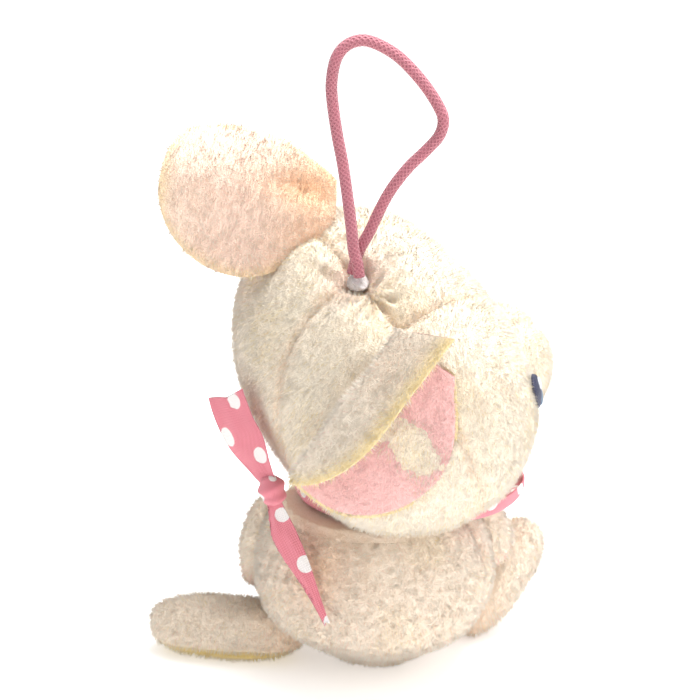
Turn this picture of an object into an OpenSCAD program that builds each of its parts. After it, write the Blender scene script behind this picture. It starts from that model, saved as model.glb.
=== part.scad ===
// A small plush mouse charm: a seated, stuffed body, a big tilted head with two soft ears,
// a ribbon tied round the neck and an elastic cord loop on the crown.
// The body faces -Y and sits on Z = 0. The head has its own frame: face -Y, crown +Z, left ear +X.

/* [Body] */
// Largest radius of the stuffed body
torso_r = 25.8; // [24:0.1:27]
// Half height of the round that the body is cut from
torso_half_h = 24; // [22:0.5:26]
// Height of the body's widest place above the seat
torso_mid_z = 21; // [19:0.5:22]
// Height of the flat neck end of the body
neck_z = 36.2; // [35.5:0.1:36.3]
// Thickness of the plush fabric with its pile
plush_t = 1.2; // [0.8:0.1:1.6]

/* [Head] */
// Half length of the head from ear to ear
head_half_w = 38; // [36:0.5:39]
// Half height and half depth of the head
head_r = 29; // [28:0.5:30]
// Height of the head's centre above the seat
head_z = 66; // [65:0.5:67]
// How far the head is turned to the mouse's right
head_yaw = 48; // [40:1:55]
// How far the face looks up
head_pitch = 24; // [15:1:30]
// How far the head leans to the mouse's right
head_roll = 34; // [25:1:40]
// Radius of the round muzzle
muzzle_r = 13.5; // [12:0.5:15]

/* [Ears] */
// Length of an ear from its root to its tip
ear_len = 34.5; // [32:0.5:38]
// Widest width of an ear
ear_w = 33.5; // [31:0.5:35]
// Width of an ear at its root
ear_root_w = 12; // [10:1:15]
// How far the right ear is folded over, from flat
ear_right_bend = 145; // [120:1:150]
// How far the left ear is cupped, from flat
ear_left_bend = 30; // [10:1:40]

/* [Limbs] */
// Radius of a stuffed arm
arm_r = 5.4; // [4.5:0.1:6]
// Radius of a stuffed foot
foot_r = 6.6; // [5.5:0.1:7]
// Thickness of a sole panel
sole_t = 1.4; // [1:0.1:2]

/* [Ribbon] */
// Thickness of the ribbon
ribbon_t = 0.7; // [0.5:0.1:1]
// Width of the ribbon
ribbon_w = 12; // [10:0.5:13]
// Outer radius of the collar round the neck
collar_r = 25; // [24:0.5:26]

/* [Cord loop] */
// Diameter of the braided elastic cord
cord_d = 2.3; // [2:0.1:2.6]
// How far the cord leaves the crown to the left of the head's pole, in degrees
exit_tilt = 12; // [8:1:16]

/* [Hidden] */
$fn = 48;
// longer than any piece, for cutting solids
far = 200;

// preview colours
cream = [0.98, 0.93, 0.84];
pink = [0.98, 0.72, 0.74];
ribbon_pink = [0.97, 0.55, 0.64];
cord_pink = [0.76, 0.42, 0.49];
fibre_white = [0.96, 0.96, 0.95];
thread_navy = [0.12, 0.13, 0.22];

// gap between two bodies that move against each other
clear = 0.35;

// gap between two pieces that are sewn together
sew_gap = 0.05;

head_c = [-1.4, -0.5, head_z];
// the head is flat where it is sewn to the neck
head_base_z = neck_z + 0.4;

// the collar: its middle, turn, depth as a share of its width, width of its flat part and height of its rim
collar_c = [-5.5, -5.5];
collar_turn = 20;
collar_deep = 0.9;
collar_in = 5;
collar_h = 3.9;
collar_edge = 0.1;

muzzle_c = [-1.5, -25, -20.5];

// an eye: its turn from straight ahead, its dip below the head's centre, radius, height as a share, thickness
eye_turn = 48;
eye_drop = -4;
eye_r = 2.7;
eye_tall = 1.35;
eye_t = 0.6;

// the nose: its angle above the muzzle's front, radius, width and thickness as shares
nose_lift = -14;
nose_r = 2.4;
nose_wide = 1.4;
nose_t = 0.4;

// seams of the head, in degrees from the crown; the centre seam of the back meets the ear seam off centre
forehead_right = 19;
forehead_left = -35;
back_seam_tilt = 24;
back_seam_z = 16;

// how far the ears stand off the head
ear_lift = 1.1;
// from the fold to the edge of the lining, and the lining's margin inside the ear's outline
ear_gap = 3;
lining_in = 0.6;
// the folded spine of an ear, and how far it goes on past both ends
ear_spine_r = 1.55;
ear_past = 0.4;
ear_outer_t = 1.3;
ear_lining_t = 0.9;
// root, direction of the spine and direction of the lining, in the head's frame
ear_left_root = [26.5, -3.8, 24];
ear_left_along = [14, 31, 20];
ear_left_face = [0.65, 0.18, -0.73];
ear_right_root = [-15.6, -1, 26.4];
ear_right_along = [-8.3, 28.8, -1.2];
ear_right_face = [-0.8, -0.2, 0.57];
// how far the right ear's centre line lies from its fold
ear_right_middle = 5;

// the dimple that the cord leaves from, the tack stitches in it and the pocket of the knot under it
dimple_depth = 4;
dimple_r = 6.4;
dimple_floor_r = 3;
tack_r = 1.8;
tack_h = 2.4;
pocket_r = 6.5;
// depths under the surface of the crown
cord_start = 1.4;
knot_depth = 9;
knot_r = 3;

// the bow: its knot, and for each tail the root from the knot, direction, facing, length and root width
knot_turn = 52;
bow_knot_c = [14.6, 22.6, 44.6];
bow_knot_half = [2.4, 4, 3.6];
tail_point = 3;
upper_tail_root = [2, -0.4, 4.4];
upper_tail_along = [10, -1, 15.6];
upper_tail_face = [0.45, 0.9, 0];
upper_tail_len = 17;
upper_tail_root_w = 5;
upper_tail_tip_w = ribbon_w - 2;
lower_tail_root = [-1.6, 1.4, -3.8];
lower_tail_along = [-12.8, 4.2, -20.5];
lower_tail_face = [0.2, 0.95, 0.15];
lower_tail_len = 24;
lower_tail_root_w = 4;
lower_tail_tip_w = ribbon_w / 2;

// ends of the stuffed limbs
arm_left_top = [22.2, 0.5, 35];
arm_left_hand = [27.2, 3, 13];
arm_right_top = [-17.5, -10.5, 36];
arm_right_hand = [-23.5, -15, 19];
foot_left_heel = [13, 8.5, foot_r - 0.4];
foot_left_toe = [47, 14.2, foot_r - 0.4];
foot_right_heel = [-15, -12, 2.5];
foot_right_toe = [-26.5, -31, 22];
// the right foot's sole looks this way and is this deep
foot_right_sole_way = [0.89, -0.37, 0.16];
foot_right_sole_depth = 2;

// The cord loop in its own upright plane: across the view, up, and towards the nape, from the crown.
loop_route = [
    [0.7, 0, 1.2], [0.3, 2.7, 1.2], [-0.4, 5.3, 1.2], [-0.9, 10.2, 1.1], [-1.7, 16.8, 0.9], [-2.6, 23, 0.6],
    [-3.6, 28.3, 0.4], [-4.5, 34.5, 0.2], [-4.7, 38.9, 0], [-3.8, 43.4, 0], [-1.7, 46, 0], [1.5, 46.9, 0],
    [5.1, 45.7, 0], [8.8, 43.2, 0], [12.8, 38.9, 0], [15.8, 34.5, 0], [17, 31.4, 0], [16.3, 28.3, -0.2],
    [13.9, 25.4, -0.4], [10.3, 21.8, -0.5], [7.2, 17.7, -0.7], [5.1, 13.9, -0.9], [2.8, 8.8, -1.1],
    [0.5, 4.4, -1.2], [-0.7, 0, -1.2]
];
// turn of that plane about the upright
loop_turn = 20;
// rings between two points of the route, and corners of each ring
rings_per_step = 2;
cord_sides = 8;

function unit(v) = v / norm(v);
function turn_x(v, a) = [v[0], v[1] * cos(a) - v[2] * sin(a), v[1] * sin(a) + v[2] * cos(a)];
function turn_y(v, a) = [v[0] * cos(a) + v[2] * sin(a), v[1], -v[0] * sin(a) + v[2] * cos(a)];
function turn_z(v, a) = [v[0] * cos(a) - v[1] * sin(a), v[0] * sin(a) + v[1] * cos(a), v[2]];
// a point of the head's own frame, in the mouse's frame
function on_mouse(v) = head_c + turn_z(turn_x(turn_y(v, -head_roll), -head_pitch), -head_yaw);
// distance from the head's centre to its surface in a direction
function head_reach(d) = 1 / sqrt(pow(d[0] / head_half_w, 2) + (pow(d[1], 2) + pow(d[2], 2)) / pow(head_r, 2));

exit_dir = [sin(exit_tilt), 0, cos(exit_tilt)];
exit_local = exit_dir * (head_reach(exit_dir) - cord_start);
exit_point = on_mouse(exit_local);

// the children's +Y runs along "along" and their +Z faces "face", from point o
module placed(o, along, face) {
    y = unit(along);
    z = unit(face - y * (face * y));
    x = cross(y, z);
    multmatrix([
        [x[0], y[0], z[0], o[0]],
        [x[1], y[1], z[1], o[1]],
        [x[2], y[2], z[2], o[2]],
        [0, 0, 0, 1]
    ]) children();
}

module at_head() {
    translate(head_c)
        rotate([0, 0, -head_yaw])
            rotate([-head_pitch, 0, 0])
                rotate([0, -head_roll, 0])
                    children();
}

// everything above a height
module above(z) {
    translate([-far / 2, -far / 2, z]) cube(far);
}

// ---- body ----

module torso_round(grow) {
    translate([0, 0, torso_mid_z])
        scale([torso_r + grow, torso_r + grow, torso_half_h + grow]) sphere(r = 1);
}

module torso_slab(grow, low, high) {
    intersection() {
        torso_round(grow);
        translate([-far / 2, -far / 2, low]) cube([far, far, high - low]);
    }
}

// one half of the plush skin, front (side = -1) or back (side = 1)
module torso_skin(side) {
    intersection() {
        difference() {
            torso_slab(0, plush_t, neck_z - plush_t);
            torso_round(-plush_t);
        }
        translate([-far / 2, side > 0 ? 0 : -far, 0]) cube(far);
    }
}

module torso_back_panel() {
    color(cream) torso_skin(1);
}

module torso_belly_panel() {
    color(cream) torso_skin(-1);
}

module seat_panel() {
    color(cream) torso_slab(0, 0, plush_t);
}

module neck_panel() {
    color(cream) torso_slab(0, neck_z - plush_t, neck_z);
}

module torso_stuffing() {
    color(fibre_white) torso_slab(-plush_t, plush_t, neck_z - plush_t);
}

// ---- head ----

module head_round(grow) {
    scale([head_half_w + grow, head_r + grow, head_r + grow]) sphere(r = 1);
}

// the funnel that the cord loop comes out of; under it the filling has a pocket for the knot
module dimple() {
    reach = head_reach(exit_dir);
    rotate([0, exit_tilt, 0])
        translate([0, 0, reach - dimple_depth])
            cylinder(r1 = dimple_floor_r, r2 = dimple_r, h = dimple_depth + 1);
}

module head_skin() {
    difference() {
        head_round(0);
        head_round(-plush_t);
        dimple();
    }
}

// the front of the head between two angles, counted from the crown towards the right ear
module front_sector(from, to) {
    rotate([90, 0, 0]) linear_extrude(far / 2)
        polygon([
            [0, 0],
            for (k = [0 : 4])
                let (a = from + (to - from) * k / 4)
                    far / 2 * [-sin(a), cos(a)]
        ]);
}

// the back of the head on one side (1 left, -1 right) of the slanting centre seam
module back_side(side) {
    translate([0, far / 2, 0]) rotate([90, 0, 0]) linear_extrude(far / 2)
        translate([0, back_seam_z]) rotate(-back_seam_tilt)
            translate([side > 0 ? 0 : -far / 2, -far / 2]) square([far / 2, far]);
}

// a panel of the skin of the head, above the neck
module head_panel() {
    color(cream) intersection() {
        at_head() intersection() {
            head_skin();
            children();
        }
        above(head_base_z);
    }
}

module head_back_left() {
    head_panel() back_side(1);
}

module head_back_right() {
    head_panel() back_side(-1);
}

module head_forehead() {
    head_panel() front_sector(forehead_left, forehead_right);
}

module head_face_left() {
    head_panel() front_sector(-180, forehead_left);
}

module head_face_right() {
    head_panel() front_sector(forehead_right, 180);
}

module head_stuffing() {
    color(fibre_white) intersection() {
        at_head() difference() {
            head_round(-plush_t);
            rotate([0, exit_tilt, 0])
                translate([0, 0, head_reach(exit_dir) - knot_depth - knot_r])
                    cylinder(r = pocket_r, h = far);
        }
        above(head_base_z);
    }
}

module muzzle() {
    color(cream) at_head() difference() {
        translate(muzzle_c) sphere(r = muzzle_r);
        head_round(0);
    }
}

// a satin-stitched patch, raised by eye_t
module eye(side) {
    $fn = 128;
    color(thread_navy) at_head() intersection() {
        difference() {
            head_round(eye_t);
            head_round(0);
        }
        rotate([0, 0, side * eye_turn])
            rotate([90 + eye_drop, 0, 0])
                scale([1, eye_tall, 1])
                    cylinder(r = eye_r, h = far);
    }
}

module eye_left() {
    eye(1);
}

module eye_right() {
    eye(-1);
}

module nose() {
    color(pink) at_head() difference() {
        translate(muzzle_c) rotate([-nose_lift, 0, 0]) translate([0, -muzzle_r, 0])
            scale([nose_wide, nose_t, 1]) sphere(r = nose_r);
        translate(muzzle_c) sphere(r = muzzle_r + sew_gap);
    }
}

// ---- ears ----

// flat ear outline: root at the origin, tip up
module ear_outline(inset) {
    hull() {
        translate([0, ear_len - ear_w / 2]) circle(r = ear_w / 2 - inset);
        translate([-ear_root_w / 2 + inset, 0]) square([ear_root_w - 2 * inset, 1]);
    }
}

// the part of a layer of an ear that lies on one side of its fold, from "gap" outwards;
// "middle" is where the ear's centre line lies
module ear_part(side, middle, gap, low, high, inset) {
    translate([0, 0, low]) linear_extrude(high - low) intersection() {
        translate([middle, 0]) ear_outline(inset);
        translate([side > 0 ? gap : -far / 2, -far / 4]) square([far / 2 - gap, far / 2]);
    }
}

// the plush back of an ear that is folded by "bend" along its spine
module ear_outer(middle, bend) {
    ear_part(1, middle, 0, -ear_outer_t, 0, 0);
    rotate([0, bend, 0]) ear_part(-1, middle, 0, -ear_outer_t, 0, 0);
    spine_end = ear_len - ear_w / 2 + sqrt(pow(ear_w / 2, 2) - pow(middle, 2)) + ear_past;
    translate([0, -ear_past, 0]) rotate([-90, 0, 0]) cylinder(r = ear_spine_r, h = spine_end + ear_past);
}

// the two halves of the pile lining inside the fold
module ear_lining(middle, bend) {
    ear_part(1, middle, ear_gap, 0, ear_lining_t, lining_in);
    rotate([0, bend, 0]) ear_part(-1, middle, ear_gap, 0, ear_lining_t, lining_in);
}

module clear_of_head() {
    difference() {
        children();
        head_round(ear_lift);
    }
}

module at_left_ear() {
    at_head() clear_of_head() placed(ear_left_root, ear_left_along, ear_left_face) children();
}

module at_right_ear() {
    at_head() clear_of_head() placed(ear_right_root, ear_right_along, ear_right_face)
        mirror([1, 0, 0]) children();
}

module ear_left_outer() {
    color(cream) at_left_ear() ear_outer(0, ear_left_bend);
}

module ear_left_lining() {
    color(pink) at_left_ear() ear_lining(0, ear_left_bend);
}

module ear_right_outer() {
    color(cream) at_right_ear() ear_outer(ear_right_middle, ear_right_bend);
}

module ear_right_lining() {
    color(pink) at_right_ear() ear_lining(ear_right_middle, ear_right_bend);
}

// ---- ribbon ----

// an oval ring that lies on the shoulders and turns up at its edge
module collar_ribbon() {
    flat = collar_r - collar_in;
    rim = collar_r - ribbon_t;
    color(ribbon_pink) difference() {
        translate([collar_c[0], collar_c[1], head_base_z])
            rotate([0, 0, collar_turn]) scale([1, collar_deep, 1])
                rotate_extrude() polygon([
                    [flat, 0], [rim, collar_edge], [collar_r, collar_h],
                    [rim, collar_h], [rim - ribbon_t, ribbon_t], [flat, ribbon_t]
                ]);
        at_head() head_round(clear);
    }
}

module bow_knot() {
    color(ribbon_pink) translate(bow_knot_c) rotate([0, 0, knot_turn])
        scale(bow_knot_half) sphere(r = 1);
}

module ribbon_tail(length, root_w, tip_w) {
    linear_extrude(ribbon_t) polygon([
        [-root_w / 2, 0], [root_w / 2, 0],
        [tip_w / 2, length - tail_point], [0, length], [-tip_w / 2, length - tail_point]
    ]);
}

module bow_upper_tail() {
    color(ribbon_pink)
        placed(bow_knot_c + upper_tail_root, upper_tail_along, upper_tail_face)
            ribbon_tail(upper_tail_len, upper_tail_root_w, upper_tail_tip_w);
}

module bow_lower_tail() {
    color(ribbon_pink)
        placed(bow_knot_c + lower_tail_root, lower_tail_along, lower_tail_face)
            ribbon_tail(lower_tail_len, lower_tail_root_w, lower_tail_tip_w);
}

// ---- cord loop ----

module loop_tack() {
    color(fibre_white) at_head() rotate([0, exit_tilt, 0])
        translate([0, 0, head_reach(exit_dir) - knot_depth + knot_r])
            cylinder(r = tack_r, h = tack_h);
}

module loop_knot() {
    color(cord_pink) at_head() rotate([0, exit_tilt, 0])
        translate([0, 0, head_reach(exit_dir) - knot_depth])
            sphere(r = knot_r);
}

// a smooth curve through four neighbouring points
function between(a, b, c, d, t) =
    0.5 * (2 * b + (c - a) * t + (2 * a - 5 * b + 4 * c - d) * t * t + (3 * b - a - 3 * c + d) * t * t * t);

function route_at(pts, i, t) =
    let (n = len(pts))
        between(pts[max(i - 1, 0)], pts[i], pts[min(i + 1, n - 1)], pts[min(i + 2, n - 1)], t);

// across the view is the -X side, turned by loop_turn
function loop_world(p) = exit_point + turn_z([-p[0], p[2], p[1]], loop_turn);

loop_line = [
    for (i = [0 : len(loop_route) - 2])
        for (k = [0 : rings_per_step - 1])
            loop_world(route_at(loop_route, i, k / rings_per_step)),
    loop_world(loop_route[len(loop_route) - 1])
];

// an 8-sided tube along a line; "face" is never along the line
module tube(line, r, face) {
    n = len(line);
    s = cord_sides;
    tangents = [for (i = [0 : n - 1]) unit(line[min(i + 1, n - 1)] - line[max(i - 1, 0)])];
    rings = [
        for (i = [0 : n - 1])
            let (u = unit(cross(tangents[i], face)), v = cross(tangents[i], u))
                for (k = [0 : s - 1])
                    line[i] + r * (cos(360 * k / s) * u + sin(360 * k / s) * v)
    ];
    walls = [
        for (i = [0 : n - 2])
            for (k = [0 : s - 1])
                [i * s + k, (i + 1) * s + k, (i + 1) * s + (k + 1) % s, i * s + (k + 1) % s]
    ];
    first_cap = [for (k = [0 : s - 1]) k];
    last_cap = [for (k = [s - 1 : -1 : 0]) (n - 1) * s + k];
    polyhedron(points = rings, faces = concat(walls, [first_cap], [last_cap]), convexity = 6);
}

module hang_loop() {
    color(cord_pink) tube(loop_line, cord_d / 2, turn_z([0, 1, 0], loop_turn));
}

// ---- limbs ----

module clear_of_torso() {
    difference() {
        children();
        torso_round(clear);
    }
}

// a stuffed limb from one end to the other
module limb(a, b, r) {
    placed((a + b) / 2, b - a, [0, 0, 1])
        scale([r, norm(b - a) / 2, r]) sphere(r = 1);
}

module arm_left() {
    color(cream) clear_of_torso() limb(arm_left_top, arm_left_hand, arm_r);
}

module arm_right() {
    color(cream) clear_of_torso() limb(arm_right_top, arm_right_hand, arm_r);
}

module foot_left() {
    clear_of_torso() intersection() {
        limb(foot_left_heel, foot_left_toe, foot_r);
        above(0);
    }
}

module foot_left_upper() {
    color(cream) intersection() {
        foot_left();
        above(sole_t);
    }
}

module foot_left_sole() {
    color(cream) difference() {
        foot_left();
        above(sole_t);
    }
}

// the space on the toe side of the right foot's sole seam
module right_sole_side() {
    placed(foot_right_heel, foot_right_toe - foot_right_heel, foot_right_sole_way)
        above(foot_r - foot_right_sole_depth);
}

module foot_right() {
    clear_of_torso() intersection() {
        limb(foot_right_heel, foot_right_toe, foot_r);
        above(0);
    }
}

module foot_right_upper() {
    color(cream) difference() {
        foot_right();
        right_sole_side();
    }
}

module foot_right_sole() {
    color(cream) intersection() {
        foot_right();
        right_sole_side();
    }
}

torso_back_panel();
torso_belly_panel();
seat_panel();
neck_panel();
torso_stuffing();
head_back_left();
head_back_right();
head_forehead();
head_face_left();
head_face_right();
head_stuffing();
muzzle();
nose();
eye_left();
eye_right();
collar_ribbon();
bow_knot();
bow_upper_tail();
bow_lower_tail();
ear_left_outer();
ear_left_lining();
ear_right_outer();
ear_right_lining();
loop_tack();
loop_knot();
hang_loop();
arm_left();
arm_right();
foot_left_upper();
foot_left_sole();
foot_right_upper();
foot_right_sole();
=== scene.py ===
"""A plush mouse charm with a ribbon and a cord loop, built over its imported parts."""

import math
import random

import bmesh
import bpy
import numpy as np
from mathutils import Matrix, Vector, noise


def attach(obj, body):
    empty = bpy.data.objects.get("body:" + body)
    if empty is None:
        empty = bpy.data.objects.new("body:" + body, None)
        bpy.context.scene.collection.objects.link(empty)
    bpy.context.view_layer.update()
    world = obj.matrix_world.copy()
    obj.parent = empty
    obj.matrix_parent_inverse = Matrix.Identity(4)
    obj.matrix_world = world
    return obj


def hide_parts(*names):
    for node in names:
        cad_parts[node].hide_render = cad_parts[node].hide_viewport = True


bl_info = {
    "name": "Plush Mouse Charm",
    "version": (1, 0, 0),
    "blender": (4, 5, 0),
    "location": "3D View > Sidebar > Plush Mouse",
    "description": "Sews the skin, ears, ribbon and cord loop of a plush mouse charm",
    "category": "Add Mesh",
}

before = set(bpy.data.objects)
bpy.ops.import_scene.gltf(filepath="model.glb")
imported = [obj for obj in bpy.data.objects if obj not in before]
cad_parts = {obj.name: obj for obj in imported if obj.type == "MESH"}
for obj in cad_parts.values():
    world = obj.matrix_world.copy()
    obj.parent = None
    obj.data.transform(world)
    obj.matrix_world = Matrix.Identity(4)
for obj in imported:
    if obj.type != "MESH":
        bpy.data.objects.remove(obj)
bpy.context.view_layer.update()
MM = 0.001

# ---- the mouse's own frames, in millimetres ----

HEAD_CENTRE = Vector((-1.4, -0.5, 66))
HEAD_WIDE = 38.0
HEAD_ROUND = 29.0
HEAD_SIZE = (HEAD_WIDE, HEAD_ROUND, HEAD_ROUND)
HEAD_TURN = (
    Matrix.Rotation(math.radians(-48), 4, "Z")
    @ Matrix.Rotation(math.radians(-24), 4, "X")
    @ Matrix.Rotation(math.radians(-34), 4, "Y")
)
HEAD = Matrix.Translation(HEAD_CENTRE) @ HEAD_TURN
HEAD_BASE = 36.6
EXIT_TILT = math.radians(12)
FOREHEAD_RIGHT = 19
FOREHEAD_LEFT = -35
BACK_SEAM_TILT = math.radians(24)
BACK_SEAM_Z = 16
MUZZLE_CENTRE = Vector((-1.5, -25, -20.5))
MUZZLE_R = 13.5
NOSE_LIFT = math.radians(-14)

TORSO_R = 25.8
TORSO_HALF_H = 24.0
TORSO_MID_Z = 21.0
TORSO_SIZE = (TORSO_R, TORSO_R, TORSO_HALF_H)
NECK_Z = 36.2

ARM_R = 5.4
FOOT_R = 6.6
# the two ends of each limb
ARMS = {
    "arm_left": ((22.2, 0.5, 35), (27.2, 3, 13)),
    "arm_right": ((-17.5, -10.5, 36), (-23.5, -15, 19)),
}
FEET = {
    "foot_left": ((13, 8.5, 6.2), (47, 14.2, 6.2)),
    "foot_right": ((-15, -12, 2.5), (-26.5, -31, 22)),
}
# the way each sole faces, and how far its seam lies from the middle of the foot
SOLES = {"foot_left": ((0, 0, -1), 4.3), "foot_right": ((0.89, -0.37, 0.16), 3.6)}

EAR_LENGTH = 34.5
EAR_WIDTH = 33.5
EAR_ROOT = 12.0
# root, direction of the fold and facing of each ear, in the head's frame
LEFT_EAR = ((26.5, -3.8, 24), (14, 31, 20), (0.65, 0.18, -0.73))
RIGHT_EAR = ((-16.2, 3.4, 29.2), (-3.2, 24.1, -17.2), (-0.58, 0.42, 0.69))
# how far an ear reaches into the seam of the head
ROOT_PAST = 3.0
# how far the right ear's middle lies from its fold, how much wider its folded side is,
# and how far that side starts before the root
RIGHT_EAR_MIDDLE = 5
RIGHT_EAR_FLAP = 0.1
ROOT_SLANT = 8.0

CORD_D = 2.3
# yarns that run each way round the cord, and how far they go along it for one turn of the pattern
YARNS = 8
YARN_PITCH = 1.05
LOOP_ROUTE = (
    (0.7, 0, 1.2), (0.3, 2.7, 1.2), (-0.4, 5.3, 1.2), (-0.9, 10.2, 1.1), (-1.7, 16.8, 0.9), (-2.6, 23, 0.6),
    (-3.6, 28.3, 0.4), (-4.5, 34.5, 0.2), (-4.7, 38.9, 0), (-3.8, 43.4, 0), (-1.7, 46, 0), (1.5, 46.9, 0),
    (5.1, 45.7, 0), (8.8, 43.2, 0), (12.8, 38.9, 0), (15.8, 34.5, 0), (17, 31.4, 0), (16.3, 28.3, -0.2),
    (13.9, 25.4, -0.4), (10.3, 21.8, -0.5), (7.2, 17.7, -0.7), (5.1, 13.9, -0.9), (2.8, 8.8, -1.1),
    (0.5, 4.4, -1.2), (-0.7, 0, -1.2),
)
LOOP_TURN = math.radians(20)

KNOT_CENTRE = Vector((14.6, 22.6, 44.6))
KNOT_TURN = math.radians(52)
COLLAR_CENTRE = (-5.5, -5.5, 0)
COLLAR_TURN = math.radians(20)
COLLAR_DEEP = 0.9
RIBBON_WALL = 0.35

EYE_TURN = math.radians(48)
EYE_DROP = math.radians(-4)


def placed(origin, along, face):
    """A frame whose +Y runs along, and whose +Z faces face."""
    y = Vector(along).normalized()
    z = Vector(face)
    z = (z - y * z.dot(y)).normalized()
    x = y.cross(z)
    m = Matrix((x, y, z)).transposed().to_4x4()
    m.translation = Vector(origin)
    return m


def head_reach(d):
    """Distance from the head's centre to its surface in a direction of its frame."""
    return 1 / math.sqrt((d[0] / HEAD_WIDE) ** 2 + (d[1] ** 2 + d[2] ** 2) / HEAD_ROUND**2)


EXIT_WAY = Vector((math.sin(EXIT_TILT), 0, math.cos(EXIT_TILT)))
# how deep in the dimple of the crown the cord starts
CORD_START = 1.4
EXIT_ON_HEAD = EXIT_WAY * (head_reach(EXIT_WAY) - CORD_START)
EXIT = HEAD @ EXIT_ON_HEAD


# ---- settings ----


def colour_prop(name, description, default):
    return bpy.props.FloatVectorProperty(
        name=name, description=description, default=default, subtype="COLOR", size=3, min=0, max=1
    )


class PlushSettings(bpy.types.PropertyGroup):
    """Colours and pile of the plush"""

    cream: colour_prop("Cream", "Colour of the plush pile", (0.93, 0.83, 0.69))
    ground: colour_prop("Ground", "Colour of the knit under the pile", (0.88, 0.72, 0.55))
    lining: colour_prop("Lining", "Colour of the ear lining", (0.95, 0.55, 0.52))
    pile: bpy.props.FloatProperty(
        name="Pile length", description="Length of the pile", default=0.0012, unit="LENGTH", min=0
    )
    density: bpy.props.FloatProperty(
        name="Pile density", description="Tufts on a square millimetre", default=7.0, min=0
    )


class TrimSettings(bpy.types.PropertyGroup):
    """Colours of the ribbon and the cord"""

    ribbon: colour_prop("Ribbon", "Colour of the woven ribbon", (0.80, 0.17, 0.23))
    dot: colour_prop("Dot", "Colour of the dots on the ribbon", (0.93, 0.88, 0.86))
    cord: colour_prop("Cord", "Colour of the braided cord", (0.44, 0.13, 0.17))
    cord_d: bpy.props.FloatProperty(
        name="Cord diameter", description="Diameter of the cord", default=CORD_D * MM, unit="LENGTH"
    )


class StageSettings(bpy.types.PropertyGroup):
    """Camera and light"""

    turn: bpy.props.FloatProperty(
        name="Turn", description="Camera's turn round the mouse", default=math.radians(200), unit="ROTATION"
    )
    lift: bpy.props.FloatProperty(
        name="Lift", description="Camera's height angle", default=math.radians(18), unit="ROTATION"
    )
    distance: bpy.props.FloatProperty(
        name="Distance", description="Camera's distance", default=0.45, unit="LENGTH"
    )
    field: bpy.props.FloatProperty(
        name="Field", description="Width seen at the mouse", default=0.1533, unit="LENGTH"
    )


# ---- materials ----


class Value:
    """A shader socket that sums, products and comparisons can be written with."""

    def __init__(self, tree, socket):
        self.tree = tree
        self.socket = socket

    def math(self, operation, *others):
        node = self.tree.nodes.new("ShaderNodeMath")
        node.operation = operation
        for slot, item in zip(node.inputs, (self,) + others):
            if isinstance(item, Value):
                self.tree.links.new(item.socket, slot)
            else:
                slot.default_value = item
        return Value(self.tree, node.outputs[0])

    def __add__(self, other):
        return self.math("ADD", other)

    def __sub__(self, other):
        return self.math("SUBTRACT", other)

    def __mul__(self, other):
        return self.math("MULTIPLY", other)

    def __truediv__(self, other):
        return self.math("DIVIDE", other)

    def __rsub__(self, other):
        return self.math("MULTIPLY", -1.0).math("ADD", other)

    __radd__ = __add__
    __rmul__ = __mul__

    def sin(self):
        return self.math("SINE")

    def min(self, other):
        return self.math("MINIMUM", other)

    def max(self, other):
        return self.math("MAXIMUM", other)

    def power(self, other):
        return self.math("POWER", other)

    def fract(self):
        return self.math("FRACT")

    def between(self, low, high):
        """0 below low, 1 above high and smooth between."""
        node = self.tree.nodes.new("ShaderNodeMapRange")
        node.interpolation_type = "SMOOTHSTEP"
        self.tree.links.new(self.socket, node.inputs["Value"])
        node.inputs["From Min"].default_value = low
        node.inputs["From Max"].default_value = high
        return Value(self.tree, node.outputs["Result"])


class Finish:
    """A node material in the making."""

    def __init__(self, name, **sockets):
        self.material = bpy.data.materials.new(name)
        self.material.use_nodes = True
        self.tree = self.material.node_tree
        self.shader = self.tree.nodes["Principled BSDF"]
        for socket, value in sockets.items():
            self.shader.inputs[socket.replace("_", " ")].default_value = value

    def node(self, kind, settings=None, inputs=None):
        node = self.tree.nodes.new(kind)
        for key, value in (settings or {}).items():
            setattr(node, key, value)
        for key, value in (inputs or {}).items():
            if isinstance(value, Value):
                self.tree.links.new(value.socket, node.inputs[key])
            else:
                node.inputs[key].default_value = value
        return node

    def out(self, node, name=0):
        return Value(self.tree, node.outputs[name])

    def place(self):
        return self.out(self.node("ShaderNodeTexCoord"), "Object")

    def attribute(self, name):
        return self.out(self.node("ShaderNodeAttribute", {"attribute_name": name}), "Fac")

    def uv(self):
        uv_map = self.out(self.node("ShaderNodeUVMap"), "UV")
        split = self.node("ShaderNodeSeparateXYZ", inputs={"Vector": uv_map})
        return self.out(split, "X"), self.out(split, "Y")

    def noise(self, scale, detail=2.0, rough=0.5, where=None):
        node = self.node(
            "ShaderNodeTexNoise",
            {},
            {"Vector": where or self.place(), "Scale": scale, "Detail": detail, "Roughness": rough},
        )
        return self.out(node, "Fac")

    def mix(self, share, a, b):
        node = self.node("ShaderNodeMix", {"data_type": "RGBA"}, {0: share})
        for key, value in ((6, a), (7, b)):
            if isinstance(value, Value):
                self.tree.links.new(value.socket, node.inputs[key])
            else:
                node.inputs[key].default_value = (*value, 1)
        return Value(self.tree, node.outputs[2])

    def bump(self, height, distance, strength=1.0):
        node = self.node(
            "ShaderNodeBump", {}, {"Strength": strength, "Distance": distance, "Height": height}
        )
        self.feed("Normal", self.out(node, "Normal"))

    def feed(self, socket, value):
        self.tree.links.new(value.socket, self.shader.inputs[socket])


def scaled(colour, by):
    return tuple(min(1.0, c * by) for c in colour)


def blended(a, b, share):
    return tuple(x + (y - x) * share for x, y in zip(a, b))


# pink is blush, and also the pink in the painted shade under the bow; peach and yellow paint shade along the
# seams, in creases and under parts, besides tone that varies at random
PINK_BLUSH_AND_SHADE = (0.95, 0.42, 0.38)
PEACH = (0.96, 0.56, 0.33)
YELLOW = (0.95, 0.72, 0.24)
SHEEN_TINT = (1.0, 0.93, 0.84, 1.0)


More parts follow.
